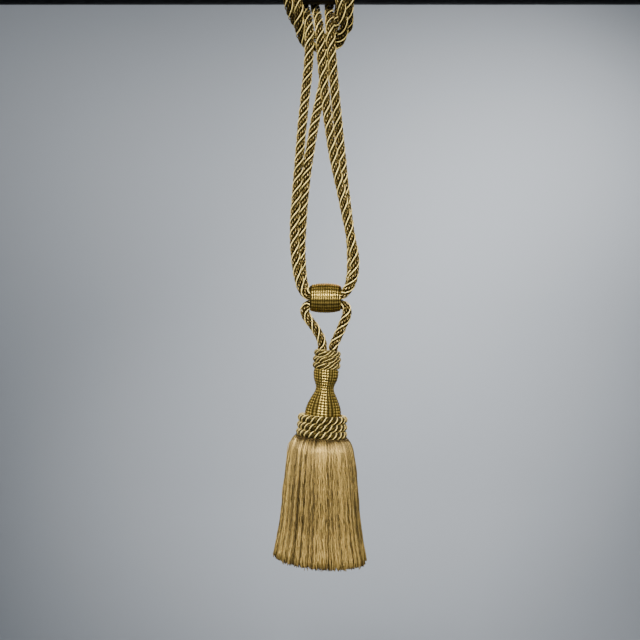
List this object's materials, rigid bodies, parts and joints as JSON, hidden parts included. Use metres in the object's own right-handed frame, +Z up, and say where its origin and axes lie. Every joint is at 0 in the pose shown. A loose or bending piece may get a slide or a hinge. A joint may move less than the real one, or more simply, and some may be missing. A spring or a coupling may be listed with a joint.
{
  "type": "curtain tieback tassel on a rod",
  "caption": "Curtain tieback tassel: a twisted gold rope hitched over a plain black rod, with a thread-wound slider, a bound knot, a turned head, a corded collar and a cut skirt.",
  "frame": {"origin": "on the rod's axis, halfway along the rod, above the tassel", "axes": "+X along the rod to the viewer's right, +Z up, +Y away from the viewer"},
  "size_m": [0.7, 0.093, 0.5958],
  "materials": {
    "rod_black": "satin black lacquer on steel tube",
    "rope_gold": "olive-gold gimp strands with pale cream-gold satin cords in the grooves",
    "thread_gold": "lustrous gold viscose thread wound side by side over a turned mould",
    "cord_gold": "satin gold twisted cord",
    "skirt_straw": "fine straw-gold viscose threads, cut level at the hem"
  },
  "bodies": {
    "root": {"rod": "rod_black", "rope": "rope_gold", "slider": "thread_gold", "knot_turn_1": "cord_gold", "knot_turn_2": "cord_gold", "knot_turn_3": "cord_gold", "head": "thread_gold", "collar_turn_1": "cord_gold", "collar_turn_2": "cord_gold", "collar_turn_3": "cord_gold", "skirt": "skirt_straw"}
  },
  "joints": []
}
